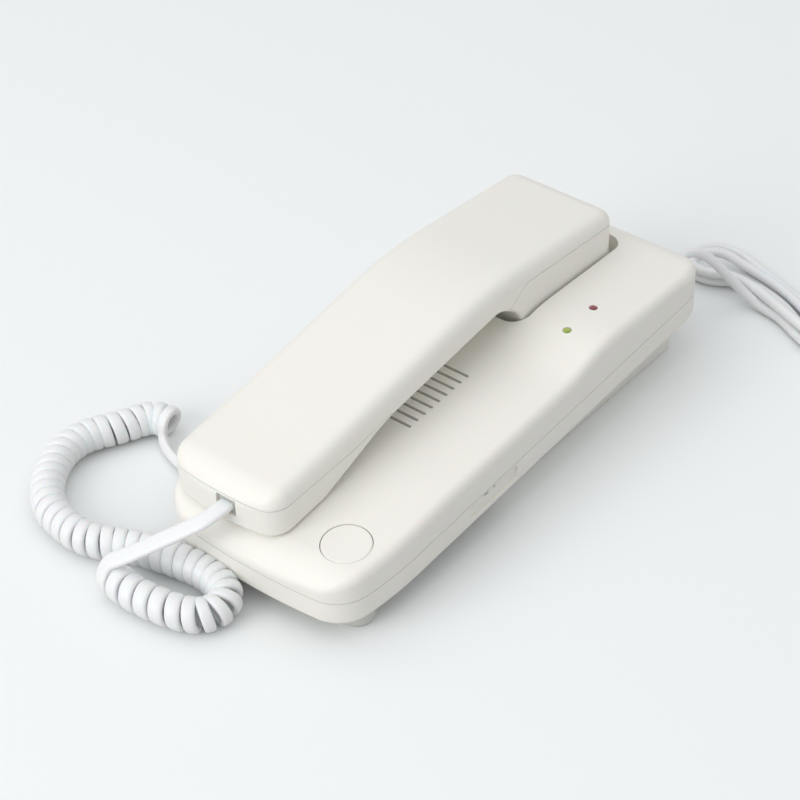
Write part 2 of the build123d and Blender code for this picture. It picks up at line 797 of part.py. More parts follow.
# Volume switch on the board's edge, and the knob in the side window
knob_place = Plane(origin=at(0, knob_y, 0), x_dir=slab.x_dir, z_dir=-slab.y_dir)
switch_slot = knob_length + 2 * knob_travel + moving_fit
with BuildPart() as volume_switch:
    with BuildSketch(knob_place):
        with Locations((switch_outer_x - switch_depth / 2, (board_top + volume_switch_height) / 2)):
            Rectangle(switch_depth, volume_switch_height - board_top)
    extrude(amount=volume_switch_half_length, both=True)
    with BuildSketch(knob_place):
        with Locations((switch_outer_x - volume_switch_slot_depth / 2, window_centre_height)):
            Rectangle(volume_switch_slot_depth + 0.01, knob_height + moving_fit)
    extrude(amount=switch_slot / 2, both=True, mode=Mode.SUBTRACT)
volume_switch.part.label = "volume_switch"
export_step(volume_switch.part, "parts/volume_switch.step")

knob_proud = 0.7
knob_inner = switch_outer_x - volume_switch_slot_depth + moving_fit
knob_outer = case_half_at_recess - side_recess_depth + knob_proud
with BuildPart() as volume_knob:
    with BuildSketch(knob_place):
        with Locations(((knob_inner + knob_outer) / 2, window_centre_height)):
            Rectangle(knob_outer - knob_inner, knob_height)
    extrude(amount=knob_length / 2, both=True)
    fillet(volume_knob.faces().sort_by(Axis.X)[-1].edges(), 0.35)
volume_knob.part.label = "volume_knob"
export_step(volume_knob.part, "parts/volume_knob.step")

# Terminal for the line, the wires inside the case and the bush that they leave through
terminal_height = 7.0
terminal_width, terminal_length = 8.0, 7.0
terminal_hole_height = board_top + 3.6
terminal_x = cable_x - 3.5
line_radius = line_diameter / 2
with BuildPart() as line_terminal:
    with BuildSketch(level(board_top)):
        with Locations((terminal_x, arm_far - terminal_length / 2)):
            Rectangle(terminal_width, terminal_length)
    extrude(amount=terminal_height)
    with BuildSketch(Plane(origin=at(terminal_x, arm_far, terminal_hole_height), x_dir=slab.x_dir, z_dir=slab.y_dir)):
        Circle(line_radius + 0.05)
    extrude(amount=-3, mode=Mode.SUBTRACT)
line_terminal.part.label = "line_terminal"
export_step(line_terminal.part, "parts/line_terminal.step")

far_wall_y = far_end - far_bow * (cable_x / (far_end_width / 2)) ** 2
bush_length = 6.0
bush_flange = 1.0
bush_fit = 0.5
bush_plane = Plane(origin=at(cable_x, far_wall_y, cable_height), x_dir=slab.x_dir, z_dir=-slab.z_dir)
with BuildPart() as cable_grommet:
    with BuildSketch(bush_plane):
        with BuildLine():
            Polyline(
                (0, wall + bush_flange + bush_fit),
                (bush_neck_radius + 0.75, wall + bush_flange + bush_fit),
                (bush_neck_radius + 0.75, wall + bush_fit),
                (bush_neck_radius, wall + bush_fit),
                (bush_neck_radius, -bush_fit),
                (bush_neck_radius + 1.4, -bush_fit),
                (bush_neck_radius + 1.4, -bush_fit - 1.2),
                (line_radius + 0.7, -bush_length),
                (0, -bush_length),
                close=True,
            )
        make_face()
    revolve(axis=Axis(bush_plane.origin, slab.y_dir))
cable_grommet.part.label = "cable_grommet"
export_step(cable_grommet.part, "parts/cable_grommet.step")


def deck_line(y):
    """Height of the case's near deck, or of its continuation, at this place along it."""
    return near_top_height + (y - near_end - shoulder_run) * tan(deck_rise)


# Outlines of the handset: from above, above its underside, below its top, below its parting
handset_left = handset_x - handset_width / 2
handset_right = handset_x + handset_width / 2
mouth_far = handset_near + mouth_block_length
ear_floor_height = rest_floor_height + ear_seat_gap
beyond = 10.0
handset_space = 60.0
with BuildSketch() as handset_plan:
    with BuildLine():
        mouth_arc = ThreePointArc(
            (handset_left, handset_near + handset_bow),
            (handset_x, handset_near),
            (handset_right, handset_near + handset_bow),
        )
        ear_arc = ThreePointArc(
            (handset_right, handset_far - handset_bow),
            (handset_x, handset_far),
            (handset_left, handset_far - handset_bow),
        )
        Line(mouth_arc @ 1, ear_arc @ 0)
        Line(ear_arc @ 1, mouth_arc @ 0)
    make_face()
    fillet(handset_plan.vertices(), handset_corner_radius)

with BuildSketch() as above_underside:
    with BuildLine():
        underside = FilletPolyline(
            (handset_near - beyond, deck_line(handset_near - beyond) + mouth_gap),
            (mouth_far, deck_line(mouth_far) + mouth_gap),
            (handset_near + arch_start_from_end, arch_start_height),
            (handset_near + arch_end_from_end, arch_end_height),
            (handset_near + ear_block_from_end - 3, arch_end_height - 7.8),
            (handset_near + ear_block_from_end, ear_floor_height),
            (handset_far + beyond, ear_floor_height),
            radius=[25, 60, 12, 10, 3],
        )
        Polyline(
            underside @ 0,
            underside @ 0 + Vector(0, handset_space),
            underside @ 1 + Vector(0, handset_space),
            underside @ 1,
        )
    make_face()

mouth_shoulder = Vector(handset_near + handset_shoulder_run, handset_near_height)
ear_shoulder = Vector(handset_far - handset_shoulder_run, handset_far_height)
mouth_slope = Vector(-handset_shoulder_run, -handset_shoulder_drop)
ear_slope = Vector(handset_shoulder_run, -handset_shoulder_drop)
with BuildSketch() as below_handset_top:
    with BuildLine():
        back = FilletPolyline(
            mouth_shoulder + mouth_slope * 2,
            mouth_shoulder,
            (handset_near + handset_knee_from_end, handset_knee_height),
            (handset_near + handset_crown_from_end, handset_crown_height),
            ear_shoulder,
            ear_shoulder + ear_slope * 2,
            radius=[handset_shoulder_blend, 60, crown_blend, handset_shoulder_blend],
        )
        Polyline(
            back @ 0,
            back @ 0 - Vector(0, handset_space),
            back @ 1 - Vector(0, handset_space),
            back @ 1,
        )
    make_face()

with BuildSketch() as below_seam:
    with BuildLine():
        seam_start = Vector(handset_near - beyond, seam_near_height)
        seam_end = Vector(handset_far + beyond, seam_far_height)
        Polyline(
            seam_start,
            (handset_near + seam_bend_from_end, seam_near_height),
            (handset_near + seam_step_from_end, seam_step_height),
            (handset_near + seam_grip_from_end, arch_start_height - seam_in_grip),
            (handset_near + seam_grip_to_end, arch_start_height - seam_in_grip),
            (handset_near + seam_rise_from_end, arch_start_height + seam_past_grip),
            (handset_near + seam_ear_from_end, seam_ear_height),
            seam_end,
            seam_end - Vector(0, handset_space),
            seam_start - Vector(0, handset_space),
            close=True,
        )
    make_face()

# Whole handset, before it is split and hollowed
with BuildPart() as handset_outside:
    with BuildSketch(slab):
        add(handset_plan.sketch)
    extrude(amount=handset_space)
    with BuildSketch(side_view):
        add(below_handset_top.sketch)
    extrude(amount=base_width, both=True, mode=Mode.INTERSECT)
    fillet(rim_of(handset_outside.part, slab.z_dir), handset_rim_radius)
    with BuildSketch(side_view):
        add(above_underside.sketch)
    extrude(amount=base_width, both=True, mode=Mode.INTERSECT)
    fillet(rim_of(handset_outside.part, -slab.z_dir, steepest=0.1), handset_underside_radius)

# Places inside the handset
microphone_from_end = 16.0
microphone_aside = 13.0
receiver_from_end = 170.0
microphone_place = (handset_x - microphone_aside, handset_near + microphone_from_end)
receiver_place = (handset_x, handset_near + receiver_from_end)
receiver_radius = 16.0
receiver_ring_wall = 1.2
receiver_ring_height = 5.0
mouth_hole_radius = 0.75
ear_hole_radius = 1.0
ear_hole_ring = 5.5
ear_hole_count = 6
floor_cut = 8.0
mouth_screw = (handset_x + 15.8, handset_near + 20)
ear_screw = (handset_x + 12.4, handset_near + 146)
mouth_boss_top = 24.6
ear_boss_top = 16.6
handset_boss_radius = 3.6
handset_screw_radius = 1.1
handset_head_radius = 2.5
handset_head_height = 1.6
handset_screw_length = 10.6
boss_roof = 1.8
handset_jack_depth = 4.2
handset_jack_face = Plane(
    origin=at(handset_jack_x, handset_near, handset_jack_height),
    x_dir=slab.x_dir,
    z_dir=slab.y_dir,
)
opening_width = plug_width + 2 * plug_clearance
opening_height = plug_height + 2 * plug_clearance

# Lower shell of the handset, with the strip that closes the grip from below
with BuildPart() as handset_bottom_shell:
    add(handset_outside.part)
    with BuildSketch(side_view):
        add(below_seam.sketch)
        offset(amount=-handset_parting_gap / 2)
    extrude(amount=base_width, both=True, mode=Mode.INTERSECT)
    with BuildPart(mode=Mode.SUBTRACT):
        with BuildSketch(slab):
            add(handset_plan.sketch)
            offset(amount=-handset_wall)
        extrude(amount=handset_space)
        with BuildSketch(side_view):
            add(above_underside.sketch)
            offset(amount=-handset_wall)
        extrude(amount=base_width, both=True, mode=Mode.INTERSECT)
    with BuildPart():
        with BuildSketch(slab):
            add(handset_plan.sketch)
            offset(amount=-handset_wall - shell_clearance)
        extrude(amount=handset_space)
        with BuildSketch(side_view):
            add(above_underside.sketch)
            with BuildSketch(mode=Mode.SUBTRACT):
                add(above_underside.sketch)
                offset(amount=-handset_wall)
        extrude(amount=base_width, both=True, mode=Mode.INTERSECT)
    with BuildSketch(level(mouth_boss_top)):
        with Locations(mouth_screw):
            Circle(handset_boss_radius)
    extrude(amount=-3)
    with BuildSketch(level(ear_boss_top)):
        with Locations(ear_screw):
            Circle(handset_boss_radius)
    extrude(amount=-3)
    with BuildSketch(level(ear_floor_height + 1)):
        with Locations(receiver_place):
            Circle(receiver_radius + 0.3 + receiver_ring_wall)
            Circle(receiver_radius + 0.3, mode=Mode.SUBTRACT)
    extrude(amount=receiver_ring_height)
    with Locations(slab):
        with Locations(mouth_screw + (mouth_boss_top - boss_roof - 10,), ear_screw + (ear_boss_top - boss_roof - 10,)):
            Cylinder(handset_head_radius + screw_clearance, 20, mode=Mode.SUBTRACT)
        with Locations(mouth_screw + (mouth_boss_top,), ear_screw + (ear_boss_top,)):
            Cylinder(handset_screw_radius + screw_clearance, 20, mode=Mode.SUBTRACT)
        with Locations(microphone_place + (deck_line(microphone_place[1]),)):
            Cylinder(mouth_hole_radius, floor_cut, mode=Mode.SUBTRACT)
        with Locations(receiver_place + (ear_floor_height,)):
            Cylinder(ear_hole_radius, floor_cut, mode=Mode.SUBTRACT)
            with PolarLocations(ear_hole_ring, ear_hole_count):
                Cylinder(ear_hole_radius, floor_cut, mode=Mode.SUBTRACT)
    with BuildSketch(handset_jack_face):
        Rectangle(opening_width, opening_height)
    extrude(amount=handset_jack_depth, both=True, mode=Mode.SUBTRACT)
handset_bottom_shell.part.label = "handset_bottom_shell"
export_step(handset_bottom_shell.part, "parts/handset_bottom_shell.step")

# Upper shell of the handset, with two screw posts and a ring that holds the receiver down
receiver_seat = ear_floor_height + handset_wall
receiver_height = 9.0
seal_thickness = 0.8
post_radius = 3.0
hold_down_radius = 10.0
receiver_top = receiver_seat + seal_thickness + receiver_height + 0.1
with BuildPart() as handset_top_shell:
    add(handset_outside.part)
    with BuildPart(mode=Mode.SUBTRACT):
        with BuildSketch(slab):
            add(handset_plan.sketch)
            offset(amount=-handset_wall)
        extrude(amount=handset_space)
        with BuildSketch(side_view):
            add(below_handset_top.sketch)
            offset(amount=-handset_wall)
        extrude(amount=base_width, both=True, mode=Mode.INTERSECT)
    with BuildSketch(side_view):
        add(below_seam.sketch)
        offset(amount=handset_parting_gap / 2)
    extrude(amount=base_width, both=True, mode=Mode.SUBTRACT)
    with BuildSketch(level(mouth_boss_top + 0.1)):
        with Locations(mouth_screw):
            Circle(post_radius)
            Circle(handset_screw_radius - 0.15, mode=Mode.SUBTRACT)
    extrude(amount=handset_space)
    with BuildSketch(level(ear_boss_top + 0.1)):
        with Locations(ear_screw):
            Circle(post_radius)
            Circle(handset_screw_radius - 0.15, mode=Mode.SUBTRACT)
    extrude(amount=handset_space)
    with BuildSketch(level(receiver_top + 0.1)):
        with Locations(receiver_place):
            Circle(hold_down_radius)
            Circle(hold_down_radius - 1, mode=Mode.SUBTRACT)
    extrude(amount=handset_space)
    add(handset_outside.part, mode=Mode.INTERSECT)
handset_top_shell.part.label = "handset_top_shell"
export_step(handset_top_shell.part, "parts/handset_top_shell.step")

# Receiver on its seal, under the ear floor's holes
with BuildPart() as receiver_seal:
    with BuildSketch(level(receiver_seat + 0.02)):
        with Locations(receiver_place):
            Circle(receiver_radius)
            Circle(receiver_radius - 4, mode=Mode.SUBTRACT)
    extrude(amount=seal_thickness)
receiver_seal.part.label = "receiver_seal"
export_step(receiver_seal.part, "parts/receiver_seal.step")

with BuildPart() as receiver_capsule:
    with BuildSketch(level(receiver_seat + seal_thickness + 0.05)):
        with Locations(receiver_place):
            Circle(receiver_radius)
    extrude(amount=receiver_height / 2)
    with BuildSketch(level(receiver_seat + seal_thickness + 0.05)):
        with Locations(receiver_place):
            Circle(receiver_radius - 3)
    extrude(amount=receiver_height)
receiver_capsule.part.label = "receiver_capsule"
export_step(receiver_capsule.part, "parts/receiver_capsule.step")

# Microphone in its rubber boot on the mouth floor
mouth_floor = Plane(
    origin=at(*microphone_place, deck_line(microphone_place[1]) + mouth_gap + handset_wall + 0.1),
    x_dir=slab.x_dir,
    z_dir=button_face.z_dir,
)
microphone_radius = 4.85
boot_floor = 0.8
boot_wall = 1.2
boot_height = 7.4
boot_hole_radius = 1.0
microphone_height = 6.2
with BuildPart() as mic_boot:
    with BuildSketch(mouth_floor):
        Circle(microphone_radius + boot_wall)
    extrude(amount=boot_height)
    with BuildSketch(mouth_floor.offset(boot_floor)):
        Circle(microphone_radius + 0.05)
    extrude(amount=boot_height, mode=Mode.SUBTRACT)
    with BuildSketch(mouth_floor):
        Circle(boot_hole_radius)
    extrude(amount=boot_height, mode=Mode.SUBTRACT)
mic_boot.part.label = "mic_boot"
export_step(mic_boot.part, "parts/mic_boot.step")

with BuildPart() as microphone_capsule:
    with BuildSketch(mouth_floor.offset(boot_floor + 0.02)):
        Circle(microphone_radius)
    extrude(amount=microphone_height)
microphone_capsule.part.label = "microphone_capsule"
export_step(microphone_capsule.part, "parts/microphone_capsule.step")

# Steel bar in the grip
grip_start = Vector(handset_near + arch_start_from_end, arch_start_height)
grip_end = Vector(handset_near + arch_end_from_end, arch_end_height)
weight_length, weight_width, weight_thickness = 44.0, 20.0, 3.0
grip_middle = (grip_start + grip_end) / 2
grip_run = grip_end - grip_start
weight_place = Plane(
    origin=at(handset_x, grip_middle.X, grip_middle.Y),
    x_dir=slab.x_dir,
    z_dir=slab.z_dir * grip_run.X - slab.y_dir * grip_run.Y,
)
with BuildPart() as handset_weight:
    with BuildSketch(weight_place.offset(handset_wall + 0.2)):
        Rectangle(weight_width, weight_length)
    extrude(amount=weight_thickness)
handset_weight.part.label = "handset_weight"
export_step(handset_weight.part, "parts/handset_weight.step")

# Screws up into the posts of the handset's upper shell
with BuildPart() as handset_screws:
    for place, boss_top in ((mouth_screw, mouth_boss_top), (ear_screw, ear_boss_top)):
        with BuildSketch(level(boss_top - boss_roof - handset_head_height)):
            with Locations(place):
                Circle(handset_head_radius)
        extrude(amount=handset_head_height)
        with BuildSketch(level(boss_top - boss_roof - handset_head_height)):
            with Locations(place):
                Circle(handset_screw_radius - 0.2)
        extrude(amount=handset_screw_length)
handset_screws.part.label = "handset_screws"
export_step(handset_screws.part, "parts/handset_screws.step")

# Modular jacks, open towards the outside, and the plugs in them
for name, face, setback in (
    ("handset_jack", handset_jack_face, handset_jack_depth),
    ("handset_cord_jack", base_jack_face, base_width / 2 - jack_front),
):
    with BuildPart() as jack:
        with BuildSketch(face.offset(setback)):
            Rectangle(jack_outer_width, jack_outer_height)
        extrude(amount=jack_depth)
        with BuildSketch(face.offset(setback)):
            Rectangle(opening_width, opening_height)
        extrude(amount=jack_depth - jack_wall, mode=Mode.SUBTRACT)
    jack.part.label = name
    export_step(jack.part, f"parts/{name}.step")

base_plug_out = 0.35
for name, face, setback in (
    ("handset_plug", handset_jack_face, handset_plug_set_back),
    ("base_plug", base_jack_face, -base_plug_out),
):
    with BuildPart() as plug:
        with BuildSketch(face.offset(setback)):
            RectangleRounded(plug_width, plug_height, 0.6)
        extrude(amount=plug_length)
    plug.part.label = name
    export_step(plug.part, f"parts/{name}.step")


def bend_radii(points, share=0.45):
    """A radius for each bend of a cord, as wide as this share of its shorter run allows."""
    radii = []
    for before, corner, after in zip(points, points[1:], points[2:]):
        run_in = Vector(corner) - Vector(before)
        run_out = Vector(after) - Vector(corner)
        half_turn = radians(run_in.get_angle(run_out)) / 2
        radii.append(share * min(run_in.length, run_out.length) / tan(half_turn))
    return radii


def cord(label, points, radii, diameter):
    """A round cord along points, with its bends rounded by radii, written out as a part."""
    with BuildPart() as piece:
        with BuildLine() as route:
            FilletPolyline(*points, radius=radii)
        path = route.wires()[0]
        with BuildSketch(Plane(origin=points[0], z_dir=Vector(points[1]) - Vector(points[0]))):
            Circle(diameter / 2)
        sweep(path=path)
    piece.part.label = label
    export_step(piece.part, f"parts/{label}.step")
    section = pi * diameter**2 / 4
    print(label, "length", round(path.length, 1), "bends", [round(r, 1) for r in radii])
    print(label, "volume over section and length", round(piece.part.volume / section / path.length, 4))


# Curly cord, lying on the floor: its wire winds round this axis
coil_height = curl_radius + curl_wire / 2 + floor_gap
coil_axis_points = [
    (-44.5, -126.0),
    (-40.5, -129.5),
    (-33.6, -131.2),
    (-25.0, -131.4),
    (-16.5, -131.2),
    (-5.5, -131.2),
    (0.9, -128.5),
    (3.2, -122.2),
    (0.9, -115.8),
    (-5.5, -113.4),
    (-14.0, -113.0),
    (-24.0, -112.9),
    (-32.3, -113.2),
    (-39.5, -114.2),
    (-47.7, -116.4),
    (-52.7, -119.2),
    (-59.1, -121.2),
    (-65.5, -121.0),
    (-76.2, -118.9),
    (-83.6, -113.9),
    (-88.2, -108.9),
    (-92.9, -101.5),
    (-95.9, -93.7),
    (-96.3, -86.0),
    (-94.3, -79.8),
    (-91.1, -74.9),
    (-88.1, -69.7),
    (-84.5, -65.0),
    (-80.6, -60.7),
    (-78.1, -58.7),
]
first_turn = 29 / 360
last_turn = 50 / 360
with BuildLine() as coil_axis:
    Spline(*[(x, y, coil_height) for x, y in coil_axis_points])
axis_curve = coil_axis.edges()[0]
axis_samples = 1500
axis_points = [axis_curve.position_at(i / axis_samples) for i in range(axis_samples + 1)]
axis_headings = [axis_curve.tangent_at(i / axis_samples) for i in range(axis_samples + 1)]
turns_so_far = [first_turn]
for i in range(axis_samples):
    advance = (axis_points[i + 1] - axis_points[i]).length
    bend = abs(axis_headings[i].cross(axis_headings[i + 1]).Z) / advance
    pitch = max(curl_pitch, (curl_wire + curl_side_gap) / (1 - curl_radius * bend))
    turns_so_far.append(turns_so_far[-1] + advance / pitch)
whole_turns = int(turns_so_far[-1] - last_turn) + last_turn
winding = (whole_turns - first_turn) / (turns_so_far[-1] - first_turn)
turns_so_far = [first_turn + (turn - first_turn) * winding for turn in turns_so_far]
up = Vector(0, 0, 1)


def curl_station(turn):
    """Place and heading of the wire after this many turns from the top of the first curl."""
    i = min(max(bisect_right(turns_so_far, turn) - 1, 0), axis_samples - 1)
    part_way = (turn - turns_so_far[i]) / (turns_so_far[i + 1] - turns_so_far[i])
    ahead = (axis_headings[i] * (1 - part_way) + axis_headings[i + 1] * part_way).normalized()
    step = axis_points[i + 1] - axis_points[i]
    aside = Vector(ahead.Y, -ahead.X, 0)
    angle = 2 * pi * turn
    place = axis_points[i] + step * part_way + (up * cos(angle) + aside * sin(angle)) * curl_radius
    left_bend = axis_headings[i].cross(axis_headings[i + 1]).Z / step.length
    rise = step.length / (turns_so_far[i + 1] - turns_so_far[i]) / (2 * pi)
    heading = (
        ahead * rise * (1 + left_bend * curl_radius * sin(angle))
        + (aside * cos(angle) - up * sin(angle)) * curl_radius
    )
    return place, heading.normalized()


def arc_joint(start, leaving, end, arriving):
    """Where two arcs meet that leave start and reach end along these headings."""
    chord = end - start
    a = 2 * (1 - leaving.dot(arriving))
    b = 2 * chord.dot(leaving + arriving)
    c = -chord.dot(chord)
    reach = (sqrt(b * b - 4 * a * c) - b) / (2 * a)
    return (start + end + (leaving - arriving) * reach) / 2


half_turns = ceil((whole_turns - first_turn) * 2)
stops = [first_turn + (whole_turns - first_turn) * i / half_turns for i in range(half_turns + 1)]
stations = [curl_station(turn) for turn in stops]
with BuildPart() as curly_cord:
    with BuildLine() as curl_route:
        for (start, leaving), (end, arriving) in zip(stations, stations[1:]):
            joint = arc_joint(start, leaving, end, arriving)
            TangentArc(start, joint, tangent=leaving)
            TangentArc(joint, end, tangent=-arriving, tangent_from_first=False)
    with BuildSketch(Plane(origin=stations[0][0], z_dir=stations[0][1])):
        Circle(curl_wire / 2)
    curl_path = curl_route.wires()[0]
    sweep(path=curl_path)
curly_cord.part.label = "curly_cord"
export_step(curly_cord.part, "parts/curly_cord.step")
wire_points = [curl_station(first_turn + i / 24)[0] for i in range(int((whole_turns - first_turn) * 24))]
wire_points = [(point.X, point.Y, point.Z) for point in wire_points]
least_gap = min(
    dist(wire_points[i], wire_points[j]) - curl_wire
    for i in range(len(wire_points))
    for j in range(i + 12, len(wire_points))
)
print("curly_cord curls", round(whole_turns - first_turn, 2), "wire length", round(curl_path.length, 1))
print("curly_cord least gap to itself", round(least_gap, 3), "lowest", min(p[2] for p in wire_points) - curl_wire / 2)
wire_volume = pi * curl_wire**2 / 4 * curl_path.length
print("curly_cord volume over section and length", round(curly_cord.part.volume / wire_volume, 4))

# Plain ends of the curly cord, to the plug in the handset and to the plug in the case
handset_lead_start = handset_jack_face.offset(handset_plug_set_back).origin
handset_lead_points = [
    handset_lead_start,
    handset_lead_start - slab.y_dir * 9,
    stations[0][0] - stations[0][1] * 5,
    stations[0][0],
]
cord("cord_lead_handset", handset_lead_points, [9.0, 12.0], curl_wire)
base_lead_end = base_jack_face.offset(-base_plug_out).origin
base_lead_points = [
    stations[-1][0],
    stations[-1][0] + stations[-1][1] * 8.6,
    (-66.5, -70.5, 1.7),
    (-57.0, -74.0, 3.0),
    base_lead_end - slab.x_dir * 8,
    base_lead_end,
]
cord("cord_lead_base", base_lead_points, bend_radii(base_lead_points), curl_wire)

# Wires from the terminal to the bush, and the line cable that goes on from it
inner_line_start = at(cable_x, far_wall_y - wall - bush_flange - bush_fit, cable_height)
inner_line_end = at(terminal_x, arm_far - 2.5, terminal_hole_height)
inner_line_points = [
    inner_line_start,
    inner_line_start - slab.y_dir * 14,
    inner_line_end + slab.y_dir * 14,
    inner_line_end,
]
cord("inner_line", inner_line_points, bend_radii(inner_line_points), line_diameter)

# Hank of the line cable: lanes along tie_along, side by side along tie_across, in two layers on the floor
tie_middle = Vector(75.0, 127.14, 0)
tie_along = Vector(0.9397, -0.342, 0)
tie_across = Vector(0.342, 0.9397, 0)
lower_layer = line_radius + hank_lift
upper_layer = lower_layer + line_diameter + line_gap + 0.05


def lane(along, across, height):
    """A point of the hank, in the part's own frame."""
    return tie_middle + tie_along * along + tie_across * across + up * height


line_start = at(cable_x, far_wall_y + bush_length, cable_height)
line_cable_points = [
    line_start,
    line_start + slab.y_dir * 9.8,
    lane(-33.3, -7.2, lower_layer),
    lane(-22, -4.3, lower_layer),
    lane(-14, -4.3, lower_layer),
]
cord("line_cable", line_cable_points, [8.5, 10.0, 30.0], line_diameter)
hank_stations = [
    (-14, -4.3, lower_layer, 0),
    (14, -4.3, lower_layer, 40),
    (36, -10.1, lower_layer, 30),
    (55.1, -10.1, lower_layer, 9.9),
    (55.1, 10.1, lower_layer, 9.9),
    (36, 10.1, lower_layer, 30),
    (14, 4.3, lower_layer, 40),
    (-14, 4.3, lower_layer, 40),
    (-38, 7, lower_layer, 30),
    (-70, 7, lower_layer, 9.8),
    (-70, -13, lower_layer, 9.8),
    (-54, -13, lower_layer, 9),
    (-30, 0, lower_layer, 20),
    (12, 0, lower_layer, 40),
    (30, 1.5, upper_layer, 20),
    (46, 1.5, upper_layer, 5.1),
    (46, -9, upper_layer, 5.1),
    (34, -9, upper_layer, 20),
    (14, -3.9, upper_layer, 30),
    (-14, -3.9, upper_layer, 40),
    (-46, -5.2, upper_layer, 15),
    (-54, -13.5, upper_layer, 5),
    (-63.5, -13.5, upper_layer, 7.3),
    (-63.5, 1.5, upper_layer, 7.3),
    (-36, 1.5, upper_layer, 40),
    (-14, 2.2, upper_layer, 40),
    (10, 2.2, upper_layer, 20),
    (24, 6.5, upper_layer, 30),
    (56, 11, upper_layer, 14),
    (68, 11.5, lower_layer, 14),
    (76, 11.8, lower_layer, 0),
]
hank_points = [lane(along, across, height) for along, across, height, radius in hank_stations]
hank_radii = [radius for along, across, height, radius in hank_stations[1:-1]]
cord("line_hank", hank_points, hank_radii, line_diameter)

# Twist tie round the five strands
tie_half_width = 4.3 + line_radius + 0.5
tie_wall = 0.5
tie_bottom = 0.02
tie_top = upper_layer + line_radius + 0.4 + tie_wall
tie_plane = Plane(origin=tie_middle + up * tie_bottom, x_dir=tie_across, z_dir=tie_along)
with BuildPart() as hank_tie:
    with BuildSketch(tie_plane) as tie_section:
        with Locations((0, (tie_top - tie_bottom) / 2)):
            Rectangle(2 * (tie_half_width + tie_wall), tie_top - tie_bottom)
            Rectangle(2 * tie_half_width, tie_top - tie_bottom - 2 * tie_wall, mode=Mode.SUBTRACT)
        fillet(tie_section.vertices(), 0.45)
    extrude(amount=2, both=True)
hank_tie.part.label = "hank_tie"
export_step(hank_tie.part, "parts/hank_tie.step")

# Modular plug at the line's far end
line_heading = (hank_points[-1] - hank_points[-2]).normalized()
line_plug_face = Plane(
    origin=hank_points[-1] + up * (plug_height / 2 + floor_gap - lower_layer),
    x_dir=line_heading.cross(up),
    z_dir=line_heading,
)
with BuildPart() as line_plug:
    with BuildSketch(line_plug_face):
        RectangleRounded(line_plug_width, plug_height, 0.6)
    extrude(amount=plug_length)
    with BuildSketch(Plane(origin=hank_points[-1], x_dir=line_heading.cross(up), z_dir=line_heading)):
        Circle(line_radius + 0.01)
    extrude(amount=4, mode=Mode.SUBTRACT)
line_plug.part.label = "line_plug"
export_step(line_plug.part, "parts/line_plug.step")
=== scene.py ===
import bpy
import bmesh
import json
from math import copysign, cos, pi, sin
from mathutils import Matrix, Vector


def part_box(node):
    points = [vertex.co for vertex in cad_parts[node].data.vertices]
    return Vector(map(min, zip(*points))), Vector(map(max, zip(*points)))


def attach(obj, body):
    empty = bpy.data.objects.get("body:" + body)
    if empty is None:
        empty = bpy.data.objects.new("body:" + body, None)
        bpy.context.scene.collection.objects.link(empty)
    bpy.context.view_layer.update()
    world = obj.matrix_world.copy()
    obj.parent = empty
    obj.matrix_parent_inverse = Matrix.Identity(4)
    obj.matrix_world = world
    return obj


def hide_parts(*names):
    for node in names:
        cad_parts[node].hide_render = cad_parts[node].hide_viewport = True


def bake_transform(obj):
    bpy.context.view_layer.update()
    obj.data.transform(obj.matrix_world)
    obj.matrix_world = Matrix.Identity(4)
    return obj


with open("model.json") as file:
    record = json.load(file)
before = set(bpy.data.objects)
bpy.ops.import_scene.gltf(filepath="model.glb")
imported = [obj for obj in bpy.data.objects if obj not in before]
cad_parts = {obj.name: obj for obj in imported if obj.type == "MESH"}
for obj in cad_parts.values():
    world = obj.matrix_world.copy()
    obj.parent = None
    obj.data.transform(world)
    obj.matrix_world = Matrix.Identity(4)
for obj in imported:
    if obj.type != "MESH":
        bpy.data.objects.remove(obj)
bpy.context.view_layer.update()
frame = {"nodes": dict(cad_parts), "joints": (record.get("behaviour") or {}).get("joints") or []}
nodes = frame["nodes"]
joints = {joint["name"]: joint for joint in frame["joints"]}

# The object stands as in the CAD: +Y runs from the end with the call button
# to the end on the stand, the floor is z = 0.


# Materials
# Places of a Mix node's colour sockets, which share their names with its other sockets
mix_from = 6
mix_to = 7
mix_result = 2
# Mouldings drift in shade and gloss: how often in a metre, and how far the gloss goes each way
drifts_per_metre = 18.0
glossier = 0.04
duller = 0.05
# How high the grain of a moulding stands
grain_height = 0.00005
# The plating of steel breaks its gloss up in spots
plating_spot_mm = 0.5
plating_swing = 0.06


def linear(hex_colour):
    """An sRGB hex colour as linear red, green, blue and 1."""
    values = [int(hex_colour[i : i + 2], 16) / 255 for i in (1, 3, 5)]
    return [v / 12.92 if v <= 0.04045 else ((v + 0.055) / 1.055) ** 2.4 for v in values] + [1.0]


def add_node(material, kind, settings=None, links=None):
    """Adds a node to a material, with its settings and with links into its inputs."""
    node = material.node_tree.nodes.new(kind)
    for name, value in (settings or {}).items():
        if isinstance(name, int) or name in node.inputs:
            node.inputs[name].default_value = value
        else:
            setattr(node, name, value)
    for name, source in (links or {}).items():
        material.node_tree.links.new(source, node.inputs[name])
    return node


def new_material(name):
    """A material without any nodes."""
    material = bpy.data.materials.new(name)
    material.use_nodes = True
    material.node_tree.nodes.clear()
    return material


def finish_material(material, shader):
    """Links the shader to the material's output."""
    add_node(material, "ShaderNodeOutputMaterial", links={"Surface": shader.outputs["BSDF"]})
    return material


